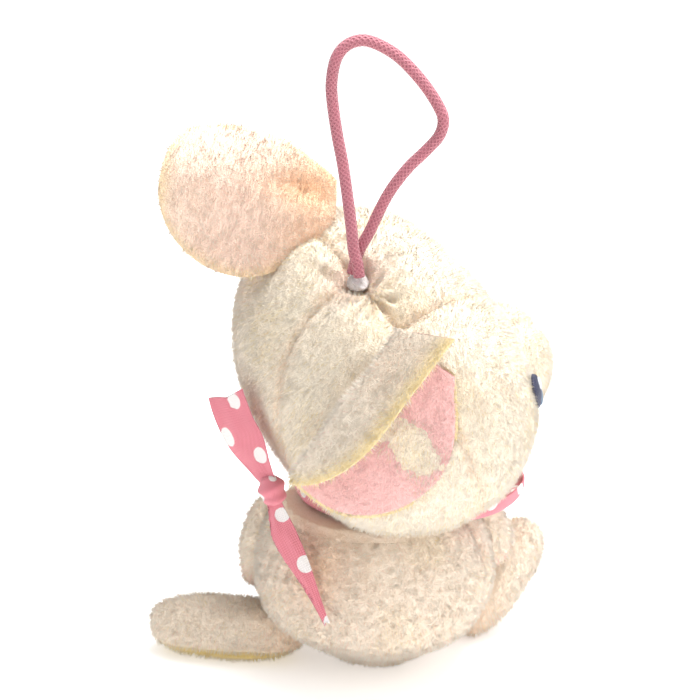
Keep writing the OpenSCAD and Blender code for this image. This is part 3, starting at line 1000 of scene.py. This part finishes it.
class MOUSE_OT_ears(bpy.types.Operator):
    """Makes both ears, each a plush back and a pink lining, folded at its spine"""

    bl_idname = "mouse.ears"
    bl_label = "Ears"

    def execute(self, context):
        left = HEAD @ placed(*LEFT_EAR)
        right = HEAD @ placed(*RIGHT_EAR) @ Matrix.Scale(-1, 4, (1, 0, 0))
        self.ear("ear_left", left, 0, 42, 14, 8, 3.0, 41)
        self.ear("ear_right", right, RIGHT_EAR_MIDDLE, 162, 6, -11, 0.5, 51)
        return {"FINISHED"}

    def ear(self, name, place, middle, bend, fold, cup, curl, seed):
        profile = fold_profile(bend, fold, cup)
        layers = (
            ("outer", -1.5, 0.1, 0.0, "plush", "tones", "cream_plush", 0.0013),
            ("lining", 0.0, 1.0, 0.9, "lining", "pink tones", "pink_plush", 0.0006),
        )
        for layer, low, high, inset, ground, tones, slot, pile in layers:
            bm = bmesh.new()
            flap = RIGHT_EAR_FLAP if name == "ear_right" else 0
            ear_layer(bm, middle, profile, low, high, inset, curl, seed, flap)
            bmesh.ops.transform(bm, matrix=place, verts=bm.verts)
            bmesh.ops.recalc_face_normals(bm, faces=bm.faces)
            bmesh.ops.dissolve_degenerate(bm, dist=1e-4, edges=bm.edges)
            edge = bm.verts.layers.float["edge"]
            margin = np.array([v[edge] for v in bm.verts])
            bm.verts.layers.float.remove(edge)
            world = points_of(bm)
            back = (np.array(place.inverted().to_3x3()) @ (world - np.array(place.translation)).T).T
            tints = self.tints(name, back, margin) if layer == "outer" else {"pink": np.zeros(len(back))}
            obj = to_object(f"{name}_{layer}_plush", bm, [MATERIALS[ground]], tints)
            tone = MATERIALS[tones]
            density = 8 if layer == "outer" else 10
            grow_pile(obj, f"{name}_{layer}_pile", name, slot, tone, pile, density, seed + len(layer), 0.35)
            join_frame(obj, name, slot, f"{name}_{layer}")

    def tints(self, name, p, margin):
        """Tints, by place on the ear and by distance from its edge: yellow along the edge and peach at the
        root and in the crease near it are painted shade, the rest tone.
        """
        x, y, _ = p.T
        # painted shade at the ear's root
        root = bell(y, 9)
        if name == "ear_right":
            # painted shade along the edge and at the root
            return {"yellow": 0.6 * bell(margin, 2.4), "peach": 0.12 * root, "pink": 0.04 + 0 * x}
        return {
            # painted shade along the edge, at the root and in the crease near it; the constant peach and the
            # pink are tone
            "yellow": 0.3 * bell(margin, 1.8),
            "peach": 0.45 * root + 0.10 + 0.5 * bell(np.hypot((x + 3) / 4, (y - 6) / 9), 1),
            "pink": 0.16 + 0.14 * bell(y - 18, 14),
        }


# ---- body ----


def shape_torso(p):
    """An egg that narrows to its seat, with side creases and short curly pile."""
    x, y, z = p.T
    height = z + TORSO_MID_Z
    out = unit_rows(p / np.array(TORSO_SIZE) ** 2)
    move = grain(p, 18, 61) * 0.6 + grain(p, 6, 62) * 0.3 - 0.45
    seam = np.abs(y)
    move -= 0.8 * bell(seam, 1.2) + 0.6 * bell(seam, 4)
    back = np.abs(x) + np.where(y > 0, 0, 60)
    move -= 0.25 * bell(back, 3)
    move += grain(p, 1.2, 63) * 0.28 + grain(p, 2.2, 64) * 0.22
    q = p + out * move[:, None]
    narrow = 1 - 0.34 * smooth_step((13 - height) / 13)
    q[:, 0] *= narrow
    q[:, 1] *= narrow
    q[:, 2] += TORSO_MID_Z
    q[:, 2] = settle(q[:, 2], 0.9)
    q[:, 2] = np.minimum(q[:, 2], NECK_Z)
    return q


def torso_tints(p):
    """Tints, by place on the body: peach in the side seam, and peach with a little pink under the bow, are
    painted shade; the rest is tone.
    """
    y = p[:, 1]
    # painted shade under the lower bow tail
    shade_under_bow = bell(apart(p, (6, 24, 9)), 8)
    return {
        "peach": 0.14 * bell(np.abs(y), 2.2) + 0.38 * shade_under_bow + 0.10,
        "pink": 0.10 * shade_under_bow + 0.05,
        "yellow": 0.08 * bell(grain(p, 10, 66) - 0.4, 0.3),
    }


class MOUSE_OT_body(bpy.types.Operator):
    """Sews the back, the belly, the seat and the neck of the body, and fills it"""

    bl_idname = "mouse.body"
    bl_label = "Body"

    def execute(self, context):
        seat, neck = 1.2 - TORSO_MID_Z, NECK_Z - 1.2 - TORSO_MID_Z
        up, down, back, front = (0, 0, 1), (0, 0, -1), (0, -1, 0), (0, 1, 0)
        panels = {
            "torso_back_panel": (((0, 0, seat), down), ((0, 0, neck), up), ((0, 0, 0), back)),
            "torso_belly_panel": (((0, 0, seat), down), ((0, 0, neck), up), ((0, 0, 0), front)),
            "seat_panel": (((0, 0, seat), up),),
            "neck_panel": (((0, 0, neck), down),),
        }
        for seed, (name, cuts) in enumerate(panels.items()):
            bm = round_body(TORSO_SIZE, SKIN_DETAIL)
            for point, normal in cuts:
                keep_side(bm, Vector(point), Vector(normal))
            local = points_of(bm)
            set_points(bm, shape_torso(local))
            plush_name = name.replace("_panel", "") + "_plush"
            obj = to_object(plush_name, bm, [MATERIALS["plush"]], torso_tints(local))
            if name != "neck_panel":
                grow_pile(obj, name.replace("_panel", "_pile"), "torso", "cream_plush", MATERIALS["tones"],
                          0.0010, 9, 71 + seed, 0.3, None, 1.1)
            close_panel(obj)
            join_frame(obj, "torso", "cream_plush", name)
        bm = round_body((TORSO_R * 0.84, TORSO_R * 0.84, TORSO_HALF_H * 0.8), FILL_DETAIL)
        set_points(bm, shape_torso(points_of(bm)))
        filling = to_object("torso_filling", bm, [MATERIALS["stuffing"]])
        join_frame(filling, "torso", "fibre_fill", "torso_stuffing")
        return {"FINISHED"}


# ---- limbs ----


def limb_shape(a, b, radius, seed, flat_floor, sole=None, blunt=2.2):
    """A stuffed limb from a to b; sole is the direction that its flat panel faces."""
    a, b = Vector(a), Vector(b)
    place = placed((a + b) / 2, b - a, sole or (0, 0, 1))
    half = (b - a).length / 2
    bm = bmesh.new()
    bmesh.ops.create_icosphere(bm, subdivisions=6, radius=1)
    p = points_of(bm)
    p /= (np.abs(p) ** blunt).sum(1)[:, None] ** (1 / blunt)
    unit = p.copy()
    q = np.stack([p[:, 0] * radius, p[:, 1] * half, p[:, 2] * radius], 1)
    out = unit_rows(p / np.array([radius, half, radius]))
    move = grain(q, 9, seed) * 0.5 + grain(q, 1.2, seed + 1) * 0.2 - 0.3
    q = q + out * move[:, None]
    world = moved(place, q)
    if flat_floor:
        world[:, 2] = settle(world[:, 2], 0.7)
    set_points(bm, world)
    return bm, unit, place


class MOUSE_OT_limbs(bpy.types.Operator):
    """Makes the arms and the feet with their soles"""

    bl_idname = "mouse.limbs"
    bl_label = "Limbs"

    def execute(self, context):
        for name, seed in (("arm_left", 81), ("arm_right", 85)):
            self.arm(name, *ARMS[name], seed)
        for name, seed in (("foot_left", 91), ("foot_right", 95)):
            self.foot(name, *FEET[name], *SOLES[name], seed)
        return {"FINISHED"}

    def arm(self, name, a, b, seed):
        bm, unit, _ = limb_shape(a, b, ARM_R, seed, False)
        tints = {"pink": 0.35 * bell(unit[:, 1] - 1, 0.35) + 0.06, "peach": 0.2 * bell(unit[:, 0], 0.12),
                 "yellow": 0.05 + 0 * unit[:, 0]}
        obj = to_object(name + "_plush", bm, [MATERIALS["plush"]], tints)
        grow_pile(obj, name + "_pile", name, "cream_plush", MATERIALS["tones"], None, None, seed, 0.4)
        join_frame(obj, name, "cream_plush", name)

    def foot(self, name, a, b, sole, cut, seed):
        """The plush upper and the sole panel are cut from one stuffed shape."""
        for part, sign in (("upper", 1), ("sole", -1)):
            bm, unit, place = limb_shape(a, b, FOOT_R, seed, True, sole, 2.7)
            height = unit[:, 2] * FOOT_R
            seam = np.abs(height - cut)
            world = points_of(bm)
            normal = np.array(place.to_3x3().col[2])
            axis = np.array(place.to_3x3().col[1])
            middle = np.array(place.translation)
            spine = middle + ((world - middle) @ axis)[:, None] * axis
            world += (spine - world) * (0.16 * bell(seam, 0.8))[:, None]
            world[:, 2] = np.maximum(world[:, 2], 0.02)
            set_points(bm, world)
            point = place @ Vector((0, 0, cut))
            keep_side(bm, point, Vector(normal) * sign)
            now = points_of(bm)
            seam = np.abs((now - np.array(point)) @ normal)
            heel = apart(now, a)
            # painted shade: yellow along the seam and peach near the heel, where the foot meets the body; the
            # sole is a little yellower all over
            tints = {"yellow": 0.85 * bell(seam, 1.3) + (0.15 if part == "sole" else 0.03),
                     "peach": 0.45 * bell(heel, 10) + 0.04, "pink": 0.05 + 0 * heel}
            obj = to_object(f"{name}_{part}_plush", bm, [MATERIALS["plush"]], tints)
            pile = f"{name}_{part}_pile"
            grow_pile(obj, pile, name, "cream_plush", MATERIALS["tones"], 0.0012, 9, seed + 2, 0.4)
            close_panel(obj, 0.8)
            join_frame(obj, name, "cream_plush", f"{name}_{part}")


# ---- ribbon ----


def strip(name, line, widths, face, body, node, shift, seed, notch, fray=0.0):
    """A length of ribbon along a smooth line; face(t) is the way it faces, and widths(t) its width."""
    wide_cells, long_cells, wave = 28, 90, 0.4
    bm = bmesh.new()
    bmesh.ops.create_grid(bm, x_segments=wide_cells, y_segments=long_cells, size=1)
    length = sum((Vector(line((k + 1) / 60)) - Vector(line(k / 60))).length for k in range(60))
    flat = {}
    rnd = random.Random(seed)
    frays = [rnd.uniform(0, fray) for _ in range(long_cells + 1)]
    for v in bm.verts:
        u, t = v.co.x, (v.co.y + 1) / 2
        t = min(t, 1.0)
        t_here = t - notch / length * abs(1 - abs(u)) * smooth_step((t - 0.8) / 0.2)
        here = Vector(line(t_here))
        ahead = (Vector(line(min(1, t_here + 0.01))) - Vector(line(max(0, t_here - 0.01)))).normalized()
        out = Vector(face(t))
        out = (out - ahead * out.dot(ahead)).normalized()
        across = ahead.cross(out)
        half = widths(t) / 2
        edge = frays[round(t * long_cells)] if u > 0.99 else 0.0
        lift = wave * noise.noise(Vector((u * 1.5 + seed, t * length / 6, seed))) + 0.12 * math.cos(u * 3)
        v.co = here + across * (u * (half - edge)) + out * lift
        flat[v] = (u * half + 6 + shift, t_here * length + shift)
    lay_uv(bm, lambda face, loop: flat[loop.vert])
    bmesh.ops.solidify(bm, geom=bm.faces[:], thickness=RIBBON_WALL)
    obj = to_object(name, bm, [MATERIALS["ribbon"]])
    return join_frame(obj, body, "pink_ribbon", node), length


def through(points):
    """A smooth line through points, from 0 to 1."""
    points = [Vector(p) for p in points]
    last = len(points) - 1

    def at(t):
        s = min(max(t, 0), 1) * last
        i = min(int(s), last - 1)
        t = s - i
        a, b, c, d = points[max(i - 1, 0)], points[i], points[i + 1], points[min(i + 2, last)]
        steep, bend = 2 * a - 5 * b + 4 * c - d, 3 * b - a - 3 * c + d
        return 0.5 * (2 * b + (c - a) * t + steep * t**2 + bend * t**3)

    return at


class MOUSE_OT_ribbon(bpy.types.Operator):
    """Ties the dotted ribbon round the neck"""

    bl_idname = "mouse.ribbon"
    bl_label = "Ribbon"

    def execute(self, context):
        self.collar()
        self.knot()
        obj, length = strip(
            "bow_upper_tail_ribbon",
            self.from_knot((0.6, 0, 1), (3.4, -0.2, 6), (7.6, -0.6, 12.4), (10.6, -1.2, 19.4)),
            lambda t: 4.5 + 5.8 * smooth_step(t * 1.6),
            lambda t: (0.45, 0.9, 0.1 + 0.25 * t),
            "bow_tail_upper",
            "bow_upper_tail",
            shift=2.0,
            seed=3,
            notch=1.2,
        )
        length * MM
        obj, length = strip(
            "bow_lower_tail_ribbon",
            self.from_knot((-0.6, 1, -1.5), (-3.6, 2.6, -8.5), (-9, 4.2, -16.5), (-14, 5.6, -25.2)),
            lambda t: 3.6 + 2 * smooth_step(t * 3) - 4.4 * smooth_step((t - 0.3) / 0.7),
            lambda t: (0.3 - 0.9 * t, 0.9, 0.15),
            "bow_tail_lower",
            "bow_lower_tail",
            shift=5.0,
            seed=5,
            notch=1.0,
            fray=0.5,
        )
        cut = 0.010 * length * MM * 0.5
        length * MM
        return {"FINISHED"}

    def from_knot(self, *steps):
        """A smooth line through places counted from the knot."""
        return through([KNOT_CENTRE + Vector(step) for step in steps])

    def collar(self):
        """A band that lies on the shoulders and turns up at its edge, all the way round."""
        profile = through([(20.4, 0, 0.3), (22.2, 0, 0.35), (23.8, 0, 0.7), (24.6, 0, 2.0), (24.7, 0, 4.0)])
        cells, steps = 20, 200
        bm = bmesh.new()
        first = [bm.verts.new(profile(k / cells)) for k in range(cells + 1)]
        edges = [bm.edges.new(pair) for pair in zip(first, first[1:])]
        bmesh.ops.spin(
            bm,
            geom=first + edges,
            angle=math.tau,
            steps=steps,
            axis=(0, 0, 1),
            cent=(0, 0, 0),
            use_merge=True,
        )

        def spot(face, loop):
            middle, co = face.calc_center_median(), loop.vert.co
            angle = math.atan2(co.y, co.x)
            angle += math.tau * round((math.atan2(middle.y, middle.x) - angle) / math.tau)
            return (math.hypot(co.x, co.y) - 20 + co.z) * 1.2, angle * 23.5

        lay_uv(bm, spot)
        for v in bm.verts:
            angle = math.atan2(v.co.y, v.co.x)
            fold = 0.35 * noise.noise(Vector((math.cos(angle) * 3, math.sin(angle) * 3, v.co.z / 5)))
            r = math.hypot(v.co.x, v.co.y)
            v.co.x *= 1 + fold / r
            v.co.y *= (1 + fold / r) * COLLAR_DEEP
            v.co.z += HEAD_BASE + 0.15 * math.sin(angle * 7)
        bmesh.ops.rotate(bm, cent=(0, 0, 0), matrix=Matrix.Rotation(COLLAR_TURN, 3, "Z"), verts=bm.verts)
        bmesh.ops.translate(bm, vec=COLLAR_CENTRE, verts=bm.verts)
        bmesh.ops.recalc_face_normals(bm, faces=bm.faces)
        bmesh.ops.solidify(bm, geom=bm.faces[:], thickness=RIBBON_WALL)
        obj = to_object("collar_ribbon_band", bm, [MATERIALS["ribbon"]])
        join_frame(obj, "head", "pink_ribbon", "collar_ribbon")

    def knot(self):
        bm = bmesh.new()
        bmesh.ops.create_uvsphere(bm, u_segments=64, v_segments=40, radius=1)
        girth = 3.2
        flat = {}
        for v in bm.verts:
            angle = math.atan2(v.co.y, v.co.x)
            flat[v] = (v.co.z * 5, angle * girth)
            pleat = 1 + 0.10 * math.sin(v.co.z * 7 + math.cos(angle) * 1.5) + 0.05 * noise.noise(v.co * 3)
            tall = 3.7 * (0.85 + 0.15 * abs(v.co.y))
            v.co = Vector((v.co.x * 2.6 * pleat, v.co.y * 3.4 * pleat, v.co.z * tall))

        def spot(face, loop):
            ys = [flat[corner.vert][1] for corner in face.loops]
            x, y = flat[loop.vert]
            return x, y + math.tau * girth if max(ys) - min(ys) > 8 and y < 0 else y

        lay_uv(bm, spot)
        lean = Matrix.Rotation(KNOT_TURN, 4, "Z") @ Matrix.Rotation(math.radians(20), 4, "X")
        bmesh.ops.transform(bm, matrix=Matrix.Translation(KNOT_CENTRE) @ lean, verts=bm.verts)
        obj = to_object("bow_knot_ribbon", bm, [MATERIALS["ribbon"]])
        join_frame(obj, "head", "pink_ribbon", "bow_knot")


# ---- cord loop ----


class MOUSE_OT_loop(bpy.types.Operator):
    """Braids the cord loop and tacks it to the crown"""

    bl_idname = "mouse.loop"
    bl_label = "Cord loop"

    def execute(self, context):
        radius = context.scene.mouse_trim.cord_d / 2 / MM
        turn = Matrix.Rotation(LOOP_TURN, 3, "Z")
        route = [EXIT + turn @ Vector((-p[0], p[2], p[1])) for p in LOOP_ROUTE]
        line = through(route)
        stations = 420
        points = [line(k / stations) for k in range(stations + 1)]
        length = sum((b - a).length for a, b in zip(points, points[1:]))
        sides = 24
        bm = bmesh.new()
        ring = bmesh.ops.create_circle(bm, cap_ends=False, segments=sides, radius=1)["verts"]
        face = turn @ Vector((0, 1, 0))
        done = 0.0
        cells = {}
        edges = bm.edges[:]
        for k, point in enumerate(points):
            ahead = (points[min(k + 1, stations)] - points[max(k - 1, 0)]).normalized()
            across = ahead.cross(face).normalized()
            over = ahead.cross(across)
            if k:
                made = bmesh.ops.extrude_edge_only(bm, edges=edges)["geom"]
                ring_new = [g for g in made if isinstance(g, bmesh.types.BMVert)]
                among = set(ring_new)
                edges = [g for g in made if isinstance(g, bmesh.types.BMEdge) and among.issuperset(g.verts)]
                done += (points[k] - points[k - 1]).length
                angles = {}
                for v in ring_new:
                    rel = v.co - points[k - 1]
                    angles[v] = math.atan2(rel.dot(last_over), rel.dot(last_across))
                ring = ring_new
            else:
                angles = {v: math.atan2(v.co.y, v.co.x) for v in ring}
            for v in ring:
                a = angles[v]
                along = math.tau * done / YARN_PITCH
                yarn = max(math.sin(a * YARNS + along), math.sin(a * YARNS - along))
                r = radius * (1 + 0.025 * yarn)
                cells[v] = (a, done)
                v.co = point + across * (math.cos(a) * r) + over * (math.sin(a) * r)
            last_across, last_over = across, over
            if k == 0:
                bmesh.ops.contextual_create(bm, geom=edges)
        bmesh.ops.contextual_create(bm, geom=edges)
        uv = bm.loops.layers.uv.new("UVMap")
        for f in bm.faces:
            xs = [cells[loop.vert][0] for loop in f.loops]
            for loop in f.loops:
                a, d = cells[loop.vert]
                if max(xs) - min(xs) > math.pi and a < 0:
                    a += math.tau
                loop[uv].uv = (a / math.tau, d * MM)
        bmesh.ops.recalc_face_normals(bm, faces=bm.faces)
        cord = to_object("hang_loop_cord", bm, [MATERIALS["cord"]])
        join_frame(cord, "loop", "elastic_cord", "hang_loop")
        tuple(points[0] * MM)
        [tuple(p * MM) for p in points]
        self.tack()
        return {"FINISHED"}

    def tack(self):
        """A small tuft of waxed thread that closes the hole where the cord goes in."""
        bm = bmesh.new()
        bmesh.ops.create_icosphere(bm, subdivisions=5, radius=1)
        base = EXIT_WAY * (head_reach(EXIT_WAY) - CORD_START - 2)
        for v in bm.verts:
            lump = 1 + 0.25 * noise.noise(v.co * 2.2 + Vector((4, 1, 0))) + 0.08 * noise.noise(v.co * 9)
            v.co = Vector((v.co.x * 2.6, v.co.y * 2.0, v.co.z * 1.4)) * lump
        place = HEAD @ Matrix.Translation(base) @ Matrix.Rotation(EXIT_TILT, 4, "Y")
        bmesh.ops.transform(bm, matrix=place, verts=bm.verts)
        join_frame(to_object("loop_tack_thread", bm, [MATERIALS["tack"]]), "head", "tack_thread", "loop_tack")


class MOUSE_OT_inside(bpy.types.Operator):
    """Finishes the cord's knot, which stays inside the head"""

    bl_idname = "mouse.inside"
    bl_label = "Inside"

    def execute(self, context):
        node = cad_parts["loop_knot"]
        node.data.materials.clear()
        node.data.materials.append(MATERIALS["tack"])
        return {"FINISHED"}


# ---- stage ----


class MOUSE_OT_stage(bpy.types.Operator):
    """Sets the floor, the light and the camera"""

    bl_idname = "mouse.stage"
    bl_label = "Stage"

    def execute(self, context):
        scene = context.scene
        settings = scene.mouse_stage
        bm = bmesh.new()
        bmesh.ops.create_grid(bm, x_segments=1, y_segments=1, size=4000)
        floor = to_object("floor", bm, [self.floor_finish()])
        world = bpy.data.worlds.new("studio")
        scene.world = world
        world.use_nodes = True
        world.node_tree.nodes["Background"].inputs["Color"].default_value = (1, 1, 1, 1)
        self.studio(world.node_tree)
        a, e = settings.turn, settings.lift
        toward = Vector((math.sin(a) * math.cos(e), -math.cos(a) * math.cos(e), math.sin(e)))
        right = Vector((math.cos(a), math.sin(a), 0))
        up = toward.cross(right)
        self.light("key light", right * 0.12 + up * 0.55 + toward * 0.12, 0.4, 6.2)
        self.light("fill light", right * 0.5 + up * 0.25 + toward * 0.4, 0.5, 1.3)
        target = right * -0.0055 + up * 0.0661
        data = bpy.data.cameras.new("camera")
        data.sensor_width = 36
        data.lens = 36 * settings.distance / settings.field
        camera = bpy.data.objects.new("camera", data)
        scene.collection.objects.link(camera)
        camera.matrix_world = Matrix((right, up, toward)).transposed().to_4x4()
        camera.location = target + toward * settings.distance
        scene.camera = camera
        scene.view_settings.view_transform = "Standard"
        return {"FINISHED"}

    def studio(self, tree):
        """A soft room: white where the camera sees it, dimmer where it lights the mouse."""
        background = tree.nodes["Background"]
        seen = tree.nodes.new("ShaderNodeLightPath")
        strength = Value(tree, seen.outputs["Is Camera Ray"]) * 0.3 + 0.7
        tree.links.new(strength.socket, background.inputs["Strength"])

    def light(self, name, place, size, power):
        data = bpy.data.lights.new(name, "AREA")
        data.shape = "DISK"
        data.size = size
        data.energy = power
        lamp = bpy.data.objects.new(name, data)
        bpy.context.scene.collection.objects.link(lamp)
        middle = Vector((0, 0, 0.06))
        lamp.location = middle + place
        lamp.rotation_euler = (-place).to_track_quat("-Z", "Y").to_euler()

    def floor_finish(self):
        f = Finish("pale floor", Roughness=0.9)
        base = f.mix(f.noise(3, 2).between(0.3, 0.7), (0.93,) * 3, (0.96,) * 3)
        f.feed("Base Color", base)
        f.shader.inputs["Emission Color"].default_value = (1, 1, 1, 1)
        f.shader.inputs["Emission Strength"].default_value = 0.34
        return f.material


OPERATORS = (
    MOUSE_OT_loop,
    MOUSE_OT_head,
    MOUSE_OT_face,
    MOUSE_OT_ears,
    MOUSE_OT_body,
    MOUSE_OT_limbs,
    MOUSE_OT_ribbon,
    MOUSE_OT_inside,
)


class MOUSE_PT_panel(bpy.types.Panel):
    """The mouse's pieces and settings"""

    bl_idname = "MOUSE_PT_panel"
    bl_label = "Plush Mouse"
    bl_space_type = "VIEW_3D"
    bl_region_type = "UI"
    bl_category = "Plush Mouse"

    def draw(self, context):
        for group in (context.scene.plush_mouse, context.scene.mouse_trim, context.scene.mouse_stage):
            for name in group.__annotations__:
                self.layout.prop(group, name)
        for operator in (MOUSE_OT_stage,) + OPERATORS:
            self.layout.operator(operator.bl_idname)


CLASSES = (PlushSettings, TrimSettings, StageSettings, MOUSE_OT_stage) + OPERATORS + (MOUSE_PT_panel,)
GROUPS = {"plush_mouse": PlushSettings, "mouse_trim": TrimSettings, "mouse_stage": StageSettings}


def register():
    for cls in CLASSES:
        bpy.utils.register_class(cls)
    for name, group in GROUPS.items():
        setattr(bpy.types.Scene, name, bpy.props.PointerProperty(type=group))


def unregister():
    for name in GROUPS:
        delattr(bpy.types.Scene, name)
    for cls in reversed(CLASSES):
        bpy.utils.unregister_class(cls)


def main():
    register()
    make_materials()
    for operator in (MOUSE_OT_stage,) + OPERATORS:
        group, name = operator.bl_idname.split(".")
        getattr(getattr(bpy.ops, group), name)()


if __name__ == "__main__":
    main()
